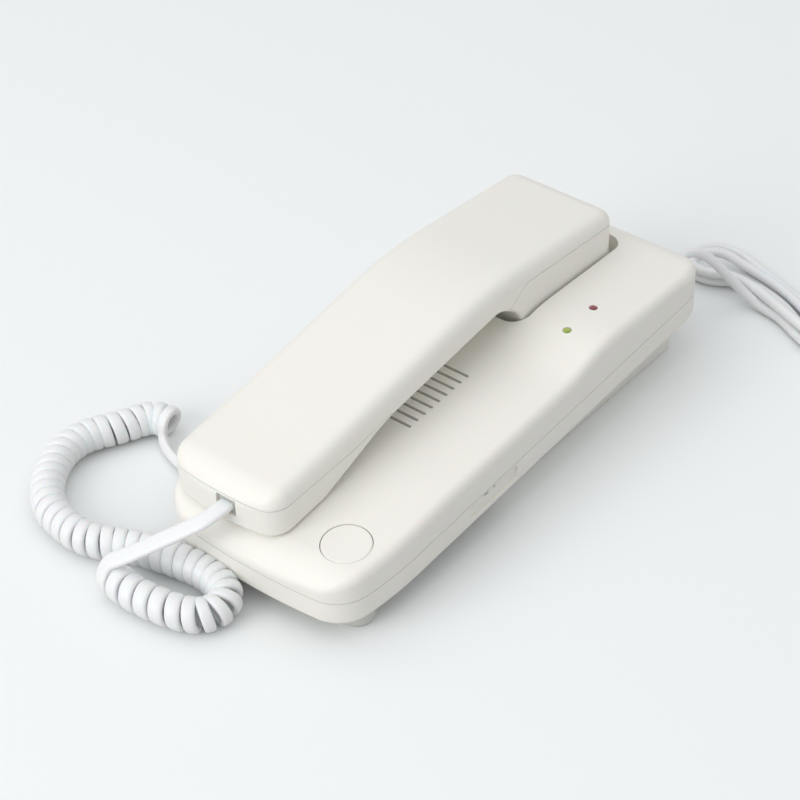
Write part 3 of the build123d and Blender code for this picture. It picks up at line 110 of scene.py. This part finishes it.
def moulded_plastic(name, colour, shade, grain_mm, bump, roughness, subsurface=0.0):
    """Moulded plastic or rubber: an even colour with slow drifts, and the grain that its mould leaves.

    The grain is drawn a little coarser than a real one, so that it shows.
    """
    material = new_material(name)
    place = add_node(material, "ShaderNodeTexCoord")
    drift = add_node(
        material,
        "ShaderNodeTexNoise",
        {"Scale": drifts_per_metre, "Detail": 3.0},
        {"Vector": place.outputs["Object"]},
    )
    tint = add_node(
        material,
        "ShaderNodeMix",
        {"data_type": "RGBA", mix_from: linear(colour), mix_to: linear(shade)},
        {"Factor": drift.outputs["Fac"]},
    )
    grain = add_node(
        material,
        "ShaderNodeTexNoise",
        {"Scale": 1000.0 / grain_mm, "Detail": 2.0},
        {"Vector": place.outputs["Object"]},
    )
    raised = add_node(
        material,
        "ShaderNodeBump",
        {"Strength": bump, "Distance": grain_height},
        {"Height": grain.outputs["Fac"]},
    )
    rough = add_node(
        material,
        "ShaderNodeMapRange",
        {"To Min": roughness - glossier, "To Max": roughness + duller},
        {"Value": drift.outputs["Fac"]},
    )
    shader = add_node(
        material,
        "ShaderNodeBsdfPrincipled",
        {"IOR": 1.53, "Subsurface Weight": subsurface, "Subsurface Scale": 0.002},
        {
            "Base Color": tint.outputs[mix_result],
            "Normal": raised.outputs["Normal"],
            "Roughness": rough.outputs["Result"],
        },
    )
    return finish_material(material, shader)


def plated_metal(name, colour, roughness):
    """Plated steel: a metal whose gloss is broken up by its plating."""
    material = new_material(name)
    place = add_node(material, "ShaderNodeTexCoord")
    spots = add_node(
        material,
        "ShaderNodeTexNoise",
        {"Scale": 1000.0 / plating_spot_mm, "Detail": 1.0},
        {"Vector": place.outputs["Object"]},
    )
    rough = add_node(
        material,
        "ShaderNodeMapRange",
        {"To Min": roughness - plating_swing, "To Max": roughness + plating_swing},
        {"Value": spots.outputs["Fac"]},
    )
    shader = add_node(
        material,
        "ShaderNodeBsdfPrincipled",
        {"Base Color": linear(colour), "Metallic": 1.0},
        {"Roughness": rough.outputs["Result"]},
    )
    return finish_material(material, shader)


def lamp_resin(name, colour, rim_sheen_colour):
    """Cast epoxy of a signal lamp: tinted and glossy, with a painted sheen that makes its rim paler towards a
    grazing view.
    """
    material = new_material(name)
    # Painted sheen: the colour turns paler towards a grazing view, at the rim of the dome
    rim_sheen_mask = add_node(material, "ShaderNodeLayerWeight", {"Blend": 0.6})
    tint = add_node(
        material,
        "ShaderNodeMix",
        {"data_type": "RGBA", mix_from: linear(colour), mix_to: linear(rim_sheen_colour)},
        {"Factor": rim_sheen_mask.outputs["Facing"]},
    )
    shader = add_node(
        material,
        "ShaderNodeBsdfPrincipled",
        {"Roughness": 0.12, "IOR": 1.54, "Coat Weight": 0.5},
        {"Base Color": tint.outputs[mix_result]},
    )
    return finish_material(material, shader)


def give(material, *names):
    """Puts a material on these CAD nodes."""
    for name in names:
        nodes[name].data.materials.clear()
        nodes[name].data.materials.append(material)


# ABS injection moulded on a fine spark-eroded mould: an even warm white with a soft satin gloss
case_abs = moulded_plastic(
    "satin off-white ABS", "#F5F3EC", "#F2F0E8", grain_mm=0.35, bump=0.08, roughness=0.42, subsurface=0.1
)
# The button's ABS comes from a smoother mould, so it is a little glossier than the case
button_abs = moulded_plastic(
    "satin off-white ABS button",
    "#F5F3EC",
    "#F2F0E8",
    grain_mm=0.35,
    bump=0.06,
    roughness=0.36,
    subsurface=0.1,
)
# Extruded PVC sheath: a colder white than the case, smooth, with soft wide highlights
cord_pvc = moulded_plastic(
    "white PVC cord", "#F1F3F4", "#EEF0F1", grain_mm=0.8, bump=0.05, roughness=0.42, subsurface=0.15
)
# Grey PVC, moulded round the cable: dull and even
bush_pvc = moulded_plastic("grey PVC bush", "#7E7F7B", "#767773", grain_mm=0.5, bump=0.1, roughness=0.5)
# Polycarbonate of a modular plug: smoky and glossy, drawn opaque because its insides are left out
clear_plug = moulded_plastic(
    "smoky polycarbonate plug", "#C9CBC4", "#BFC2BA", grain_mm=0.8, bump=0.03, roughness=0.2
)
# Glass-filled nylon of jacks, switches and capsules: black, with a dull grain
dark_nylon = moulded_plastic(
    "black nylon moulding", "#1A1B1B", "#141515", grain_mm=0.3, bump=0.1, roughness=0.5
)
# Thermoplastic rubber, moulded: pale grey and matt, so that the feet don't slide
foot_rubber = moulded_plastic(
    "pale grey rubber foot", "#D9D9D4", "#D2D2CD", grain_mm=0.4, bump=0.15, roughness=0.6
)
# Soft black rubber of the seals: matt, almost no highlight
black_rubber = moulded_plastic("black rubber", "#1C1C1C", "#161616", grain_mm=0.4, bump=0.2, roughness=0.75)
# Glass-epoxy board under its printed solder mask: deep green with a half gloss
board_mask = moulded_plastic(
    "green solder mask board", "#1E5A2F", "#1A5129", grain_mm=0.6, bump=0.1, roughness=0.35
)
# Needled felt over the speaker: black, fibrous and without any gloss; fibres drawn 0.5 mm wide to show
black_felt = moulded_plastic("black felt", "#1B1B1B", "#0F0F0F", grain_mm=0.5, bump=0.6, roughness=0.95)
# Steel wire and sheet with a zinc plating: a bluish grey metal with a broken, medium gloss
plated_steel = plated_metal("zinc plated steel", "#B9BABC", roughness=0.32)
# Cast epoxy of the signal lamps: tinted through and glossy; their paler rims are a painted sheen
red_resin = lamp_resin("red lamp resin", "#5A1119", "#C9707A")
green_resin = lamp_resin("green lamp resin", "#7E9A26", "#D3E08A")

give(case_abs, "base_lower_shell", "base_top_shell", "handset_top_shell", "handset_bottom_shell")
give(case_abs, "rear_stand", "volume_knob", "hook_plunger")
give(button_abs, "call_button")
give(cord_pvc, "inner_line", "hank_tie")
give(bush_pvc, "cable_grommet")
give(clear_plug, "handset_plug", "base_plug", "line_plug")
give(dark_nylon, "handset_jack", "handset_cord_jack", "line_terminal", "microphone_capsule")
give(dark_nylon, "button_switch", "hook_switch", "volume_switch", "circuit_parts")
give(foot_rubber, "front_feet")
give(black_rubber, "mic_boot", "receiver_seal")
give(board_mask, "main_pcb")
give(black_felt, "speaker_felt")
give(plated_steel, "case_screws", "stand_screws", "handset_screws", "handset_weight")
give(plated_steel, "chime_speaker", "receiver_capsule")
give(red_resin, "red_led")
give(green_resin, "green_led")


# Springs under the call button and the hook pin
spring_wire = 0.0006
wire_corners = 12
steps_per_turn = 24
weld_reach = 0.00001


def wound_spring(name, node, lift, turns):
    """A spring of round wire in the room of its CAD sleeve."""
    upright = lift.rotation_difference(Vector((0, 0, 1)))
    places = [upright @ vertex.co for vertex in nodes[node].data.vertices]
    low = Vector([min(place[i] for place in places) for i in range(3)])
    high = Vector([max(place[i] for place in places) for i in range(3)])
    middle = (low + high) / 2
    bpy.ops.object.select_all(action="DESELECT")
    bpy.ops.mesh.primitive_circle_add(
        vertices=wire_corners, radius=spring_wire / 2, rotation=(pi / 2, 0, 0)
    )
    piece = bpy.context.object
    piece.name = name
    piece.location = ((high.x - low.x - spring_wire) / 2, 0, 0)
    bpy.ops.object.transform_apply(location=True, rotation=True, scale=True)
    winding = piece.modifiers.new("winding", "SCREW")
    winding.iterations = turns
    winding.steps = winding.render_steps = steps_per_turn
    winding.screw_offset = (high.z - low.z - spring_wire) / turns
    bpy.ops.object.modifier_apply(modifier="winding")
    bpy.ops.object.mode_set(mode="EDIT")
    bpy.ops.mesh.select_all(action="SELECT")
    bpy.ops.mesh.remove_doubles(threshold=weld_reach)
    bpy.ops.mesh.fill_holes(sides=0)
    bpy.ops.mesh.normals_make_consistent(inside=False)
    bpy.ops.object.mode_set(mode="OBJECT")
    seat = Matrix.Translation((middle.x, middle.y, low.z + spring_wire / 2))
    piece.data.transform(upright.inverted().to_matrix().to_4x4() @ seat)
    bpy.ops.object.shade_smooth()
    piece.data.materials.append(plated_steel)
    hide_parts(node)
    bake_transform(piece)


# The button's joint points down, the way it is pushed, and the hook pin's points up
button_lift = -Vector(joints["call_button"]["axis"])
hook_lift = Vector(joints["hook_rise"]["axis"])
wound_spring("button_coil_spring", "button_spring", button_lift, turns=5)
wound_spring("hook_coil_spring", "hook_spring", hook_lift, turns=6)


# Cords
def smooth_route(name, points):
    """A curve object with one smooth NURBS spline led by the run of points, and the points of its line."""
    data = bpy.data.curves.new(name, "CURVE")
    data.dimensions = "3D"
    data.resolution_u = 24
    spline = data.splines.new("NURBS")
    spline.points.add(len(points) - 1)
    for control, place in zip(spline.points, points):
        control.co = (*place, 1.0)
    spline.order_u = 3
    spline.use_endpoint_u = True
    piece = bpy.data.objects.new(name, data)
    bpy.context.collection.objects.link(piece)
    bpy.context.view_layer.update()
    mesh = bpy.data.meshes.new_from_object(piece)
    line = [vertex.co.copy() for vertex in mesh.vertices]
    bpy.data.meshes.remove(mesh)
    return piece, line


def route_line(points):
    """The points of the smooth line led by the run of points, with no object left behind."""
    piece, line = smooth_route("route", points)
    bpy.data.objects.remove(piece)
    return line


# Line cable: from the bush at the base, down to the floor, round the hank and out to its plug.
# Its strands lie on the floor, or on other strands.
low_strand = 0.0025
high_strand = 0.00685
line_points = [
    (0.022000, 0.111217, 0.025649),
    (0.022000, 0.121500, 0.028800),
    (0.041500, 0.134000, low_strand),
    (0.054000, 0.132200, low_strand),
    (0.061000, 0.129000, low_strand),
    (0.067900, 0.125150, low_strand),
    (0.086685, 0.118311, low_strand),
    (0.105375, 0.105337, low_strand),
    (0.123323, 0.098805, low_strand),
    (0.130232, 0.117787, low_strand),
    (0.112283, 0.124319, low_strand),
    (0.089626, 0.126393, low_strand),
    (0.070830, 0.133230, low_strand),
    (0.059000, 0.145000, low_strand),
    (0.042500, 0.150800, low_strand),
    (0.011500, 0.162000, low_strand),
    (0.004775, 0.138864, low_strand),
    (0.019810, 0.133392, low_strand),
    (0.033500, 0.144000, low_strand),
    (0.051500, 0.140200, low_strand),
    (0.064500, 0.131800, low_strand),
    (0.086276, 0.123036, low_strand),
    (0.103704, 0.118290, high_strand),
    (0.118739, 0.112818, high_strand),
    (0.115148, 0.102951, high_strand),
    (0.103872, 0.107055, high_strand),
    (0.086822, 0.118687, high_strand),
    (0.060000, 0.130000, high_strand),
    (0.032000, 0.140000, high_strand),
    (0.019639, 0.132922, high_strand),
    (0.010712, 0.136171, high_strand),
    (0.015842, 0.150267, high_strand),
    (0.030000, 0.152000, low_strand),
    (0.044500, 0.149000, low_strand),
    (0.059800, 0.141200, 0.003500),
    (0.070000, 0.132200, 0.006000),
    (0.085149, 0.125787, high_strand),
    (0.099776, 0.125040, high_strand),
    (0.131385, 0.118325, high_strand),
    (0.142833, 0.114691, low_strand),
    (0.150453, 0.112236, low_strand),
]
line_radius = 0.0019
line_piece, line_run = smooth_route("line_cord", line_points)
line_piece.data.bevel_depth = line_radius
line_piece.data.bevel_resolution = 6
line_piece.data.use_fill_caps = True
line_piece.data.materials.append(cord_pvc)

# Latch of the line plug: a springy tongue that starts at the nose and rises towards the cable
plug_turn = -0.3116
latch_size = (0.0095, 0.0030, 0.0009)
latch_rounding = 0.00025
latch_slope = 0.2
latch_ahead = 0.0005
latch_lift = 0.0014
plug_low, plug_high = (Vector(corner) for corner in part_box("line_plug"))
plug_middle = (plug_low + plug_high) / 2
bpy.ops.object.select_all(action="DESELECT")
bpy.ops.mesh.primitive_cube_add(size=1)
latch = bpy.context.object
latch.name = "line_plug_latch"
bpy.ops.object.mode_set(mode="EDIT")
bpy.ops.mesh.select_all(action="SELECT")
bpy.ops.transform.resize(value=latch_size)
bpy.ops.mesh.bevel(offset=latch_rounding, segments=3)
bpy.ops.object.mode_set(mode="OBJECT")
latch_place = Vector((plug_middle.x, plug_middle.y, plug_high.z + latch_lift))
latch_place += Vector((cos(plug_turn), sin(plug_turn), 0)) * latch_ahead
latch_turn = Matrix.Rotation(plug_turn, 4, "Z") @ Matrix.Rotation(latch_slope, 4, "Y")
latch.data.transform(Matrix.Translation(latch_place) @ latch_turn)
latch.data.materials.append(clear_plug)
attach(latch, "base")

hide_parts("line_cable", "line_hank")
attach(line_piece, "base")

# Handset cord: a plain lead, curls that lie on the floor, and a plain lead to the base, all one piece.
# Its wire is a flattened band, and these are its breadths in the curls and in the leads to handset and base.
cord_broad = 0.0052
lead_broad = 0.0058
end_broad = 0.0034
cord_thick = 0.0026
# The curls lie on the floor, wound round this line from the handset's lead to the base's
curl_radius = 0.0047
floor_gap = 0.00035
curl_height = curl_radius + cord_thick / 2 + floor_gap
axis_points = [
    (-0.0380, -0.1284),
    (-0.0345, -0.1297),
    (-0.0290, -0.1303),
    (-0.0230, -0.1300),
    (-0.0160, -0.1292),
    (-0.0100, -0.1278),
    (-0.0036, -0.1250),
    (-0.0010, -0.1193),
    (-0.0026, -0.1128),
    (-0.0105, -0.1090),
    (-0.0190, -0.1086),
    (-0.0270, -0.1099),
    (-0.0345, -0.1115),
    (-0.0410, -0.1136),
    (-0.0477, -0.1164),
    (-0.0527, -0.1192),
    (-0.0591, -0.1212),
    (-0.0655, -0.1210),
    (-0.0762, -0.1189),
    (-0.0836, -0.1139),
    (-0.0882, -0.1089),
    (-0.0929, -0.1015),
    (-0.0959, -0.0937),
    (-0.0963, -0.0860),
    (-0.0943, -0.0798),
    (-0.0911, -0.0749),
    (-0.0884, -0.0692),
    (-0.0862, -0.0634),
    (-0.0825, -0.0594),
    (-0.0768, -0.0594),
]
# The first curls, after the handset's lead, are drawn a little apart
curl_pitch = 0.0047
loose_pitch = 0.0058
loose_share = 0.17
# In a bend the curls crowd together, down to the tightest pitch on its inside
bend_crowding = 0.35
tightest_pitch = 0.0019
# The wire starts and ends this far round from the top of its curl
first_turn = 58 / 360
last_turn = 84 / 360
turn_steps = 30
# The band is never broader than this share of the way to the next curl
breadth_share = 0.96
# Over how many places each way these are smoothed
bend_reach = 20
pitch_reach = 10
curl_breadth_reach = 3
cord_breadth_reach = 12
# Where the cord leaves the handset, and how far it runs straight on beyond its first and last curl
handset_exit = (-0.0105, -0.101887, 0.034738)
run_in = 0.0045
run_out = 0.0043
# Exponents under 1 fill out the corners of the band's section, along its breadth and its thickness
breadth_fill = 0.62
thickness_fill = 0.72
band_corners = 18


def smoothed(values, reach):
    """Each value as the mean of itself and its neighbours up to this many places away."""
    windows = [values[max(0, i - reach) : i + reach + 1] for i in range(len(values))]
    return [sum(window) / len(window) for window in windows]


def headings(line):
    """The direction of the line at each of its points."""
    last = len(line) - 1
    return [(line[min(i + 1, last)] - line[max(i - 1, 0)]).normalized() for i in range(len(line))]


def square_to(heading, side):
    """The direction side, made square to the heading."""
    return (side - heading * side.dot(heading)).normalized()


def turn_counts(steps):
    """How many turns are wound at each point of an axis made of these steps."""
    ahead = [step.normalized() for step in steps]
    bends = [0.0] + [
        (b - a).length / ((step.length + last.length) / 2)
        for a, b, step, last in zip(ahead, ahead[1:], steps[1:], steps)
    ]
    pitches = []
    for i, bend in enumerate(smoothed(bends, bend_reach)):
        pitch = loose_pitch if i < loose_share * len(steps) else curl_pitch
        crowded = pitch * (1 - bend_crowding * curl_radius * bend)
        pitches.append(max(crowded, tightest_pitch / (1 - curl_radius * bend)))
    turns = [first_turn]
    for step, pitch in zip(steps, smoothed(pitches, pitch_reach)):
        turns.append(turns[-1] + step.length / pitch)
    whole = int(turns[-1] - last_turn) + last_turn
    stretch = (whole - first_turn) / (turns[-1] - first_turn)
    return [first_turn + (turn - first_turn) * stretch for turn in turns]


def wind(axis):
    """The places of a wire in curls round this line, the directions of its breadth, and its breadths."""
    steps = [b - a for a, b in zip(axis, axis[1:])]
    ahead = [step.normalized() for step in steps]
    turns = turn_counts(steps)
    count = int((turns[-1] - first_turn) * turn_steps)
    wire, sides, i = [], [], 0
    for k in range(count + 1):
        turn = first_turn + (turns[-1] - first_turn) * k / count
        while i < len(steps) - 1 and turns[i + 1] < turn:
            i += 1
        share = (turn - turns[i]) / (turns[i + 1] - turns[i])
        before = ahead[max(i - 1, 0)] + ahead[i]
        after = ahead[i] + ahead[min(i + 1, len(ahead) - 1)]
        forward = before.lerp(after, share).normalized()
        aside = Vector((forward.y, -forward.x, 0))
        angle = 2 * pi * turn
        outward = Vector((0, 0, cos(angle))) + aside * sin(angle)
        wire.append(axis[i].lerp(axis[i + 1], share) + outward * curl_radius)
        sides.append(forward)
    breadths = []
    for k, place in enumerate(wire):
        beside = [wire[j] for j in (k - turn_steps, k + turn_steps) if 0 <= j < len(wire)]
        room = sum((place - other).length for other in beside) / len(beside)
        breadths.append(min(cord_broad, breadth_share * room))
    return wire, sides, smoothed(breadths, curl_breadth_reach)


def carried(line, start):
    """The direction start, carried along the line without turning round it."""
    side, sides = start, []
    for heading in headings(line):
        side = square_to(heading, side)
        sides.append(side)
    return sides


def turned_to(line, sides, wanted):
    """The directions sides, turned round the line bit by bit, until the last lies along wanted."""
    ahead = headings(line)
    goal = square_to(ahead[-1], wanted)
    if goal.dot(sides[-1]) < 0:
        goal = -goal
    roll = copysign(sides[-1].angle(goal), ahead[-1].dot(sides[-1].cross(goal)))
    turned = []
    for i, (heading, side) in enumerate(zip(ahead, sides)):
        angle = roll * i / (len(sides) - 1)
        turned.append(side * cos(angle) + heading.cross(side) * sin(angle))
    return turned


def flat_tube(name, line, sides, breadths, thick):
    """A closed tube of flattened round section that follows the line, its breadth along sides."""
    mesh = bmesh.new()
    rings = []
    for place, heading, side, broad in zip(line, headings(line), sides, breadths):
        across = square_to(heading, side)
        out = heading.cross(across)
        ring = []
        for k in range(band_corners):
            angle = 2 * pi * k / band_corners
            u = copysign(abs(cos(angle)) ** breadth_fill, cos(angle)) * broad / 2
            v = copysign(abs(sin(angle)) ** thickness_fill, sin(angle)) * thick / 2
            ring.append(mesh.verts.new(place + across * u + out * v))
        rings.append(ring)
    for a, b in zip(rings, rings[1:]):
        for k in range(band_corners):
            after = (k + 1) % band_corners
            mesh.faces.new((a[k], a[after], b[after], b[k]))
    mesh.faces.new(rings[0][::-1])
    mesh.faces.new(rings[-1])
    bmesh.ops.recalc_face_normals(mesh, faces=mesh.faces)
    for face in mesh.faces:
        face.smooth = True
    data = bpy.data.meshes.new(name)
    mesh.to_mesh(data)
    mesh.free()
    piece = bpy.data.objects.new(name, data)
    bpy.context.collection.objects.link(piece)
    return piece


curls, curl_sides, curl_breadths = wind(route_line([(x, y, curl_height) for x, y in axis_points]))
lead_run = route_line(
    [
        handset_exit,
        (-0.0105, -0.110871, 0.034209),
        (-0.0167, -0.115300, 0.029400),
        (-0.0346, -0.127600, 0.015600),
        curls[0] - (curls[1] - curls[0]).normalized() * run_in,
        curls[0],
    ]
)
base_run = route_line(
    [
        curls[-1],
        curls[-1] + (curls[-1] - curls[-2]).normalized() * run_out,
        (-0.0702, -0.0684, 0.0021),
        (-0.0590, -0.0722, 0.0030),
        (-0.0495, -0.075919, 0.015632),
        (-0.0415, -0.075919, 0.015632),
    ]
)
across_handset_plug = Vector((1, 0, 0))
across_base_plug = Vector((0, 1, 0))
back_run = lead_run[::-1]
lead_sides = turned_to(back_run, carried(back_run, curl_sides[0]), across_handset_plug)[::-1]
base_sides = turned_to(base_run, carried(base_run, curl_sides[-1]), across_base_plug)
wire_run = lead_run[:-1] + curls + base_run[1:]
wire_sides = lead_sides[:-1] + curl_sides + base_sides[1:]
wire_breadths = [lead_broad] * (len(lead_run) - 1) + curl_breadths + [end_broad] * (len(base_run) - 1)
wire_breadths = smoothed(wire_breadths, cord_breadth_reach)
curly_piece = flat_tube("curly_handset_cord", wire_run, wire_sides, wire_breadths, cord_thick)
curly_piece.data.materials.append(cord_pvc)
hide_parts("cord_lead_handset", "curly_cord", "cord_lead_base")
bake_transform(curly_piece)


# Floor, light and camera
def facing(place, target):
    """The turn that points a lamp or a camera from one place at another."""
    return (Vector(target) - Vector(place)).to_track_quat("-Z", "Y").to_euler()


def soft_lamp(name, place, target, size, power, colour):
    """A square soft box that faces a point."""
    data = bpy.data.lights.new(name, "AREA")
    data.shape = "SQUARE"
    data.size = size
    data.energy = power
    data.color = linear(colour)[:3]
    lamp = bpy.data.objects.new(name, data)
    bpy.context.collection.objects.link(lamp)
    lamp.location = place
    lamp.rotation_euler = facing(place, target)


# Matt paper: it looks nearly white to the camera and in highlights, but lights the object as a duller one
floor_paint = new_material("matt white studio paper")
rays = add_node(floor_paint, "ShaderNodeLightPath")
seen = add_node(
    floor_paint,
    "ShaderNodeMath",
    {"operation": "MAXIMUM"},
    {0: rays.outputs["Is Camera Ray"], 1: rays.outputs["Is Glossy Ray"]},
)
seen_or_through = add_node(
    floor_paint,
    "ShaderNodeMath",
    {"operation": "MAXIMUM"},
    {0: seen.outputs["Value"], 1: rays.outputs["Is Transmission Ray"]},
)
paper = add_node(
    floor_paint,
    "ShaderNodeMix",
    {"data_type": "RGBA", mix_from: linear("#D0D0CE"), mix_to: linear("#F6F9F9")},
    {"Factor": seen_or_through.outputs["Value"]},
)
floor_shader = add_node(
    floor_paint,
    "ShaderNodeBsdfPrincipled",
    {"Roughness": 0.9, "Specular IOR Level": 0.1},
    {"Base Color": paper.outputs[mix_result]},
)
finish_material(floor_paint, floor_shader)

bpy.ops.object.select_all(action="DESELECT")
bpy.ops.mesh.primitive_circle_add(vertices=96, radius=12, fill_type="NGON", location=(0, 0, 0))
floor = bpy.context.object
floor.name = "studio_floor"
floor.data.materials.append(floor_paint)

world = bpy.data.worlds.new("pale studio")
bpy.context.scene.world = world
world.use_nodes = True
background = world.node_tree.nodes["Background"]
background.inputs["Color"].default_value = linear("#FBFCFF")
background.inputs["Strength"].default_value = 0.54

soft_lamp("overhead_box", (-0.15, -0.1, 1.5), (-0.05, -0.05, 0), size=2.8, power=13, colour="#FFFEFC")
soft_lamp("near_left_box", (-0.35, -1.5, 0.72), (0, 0, 0), size=1.1, power=11, colour="#FFFFFF")

camera_place = (0.3734, -0.49736, 0.5154)
camera_target = (-0.02726, 0.00706, 0)
camera_data = bpy.data.cameras.new("photo_camera")
camera_data.lens = 103.2
camera_data.sensor_width = 36
camera_data.clip_start = 0.05
camera_data.clip_end = 60
camera = bpy.data.objects.new("photo_camera", camera_data)
bpy.context.collection.objects.link(camera)
camera.location = camera_place
camera.rotation_euler = facing(camera_place, camera_target)
bpy.context.scene.camera = camera
bpy.context.scene.view_settings.view_transform = "Standard"
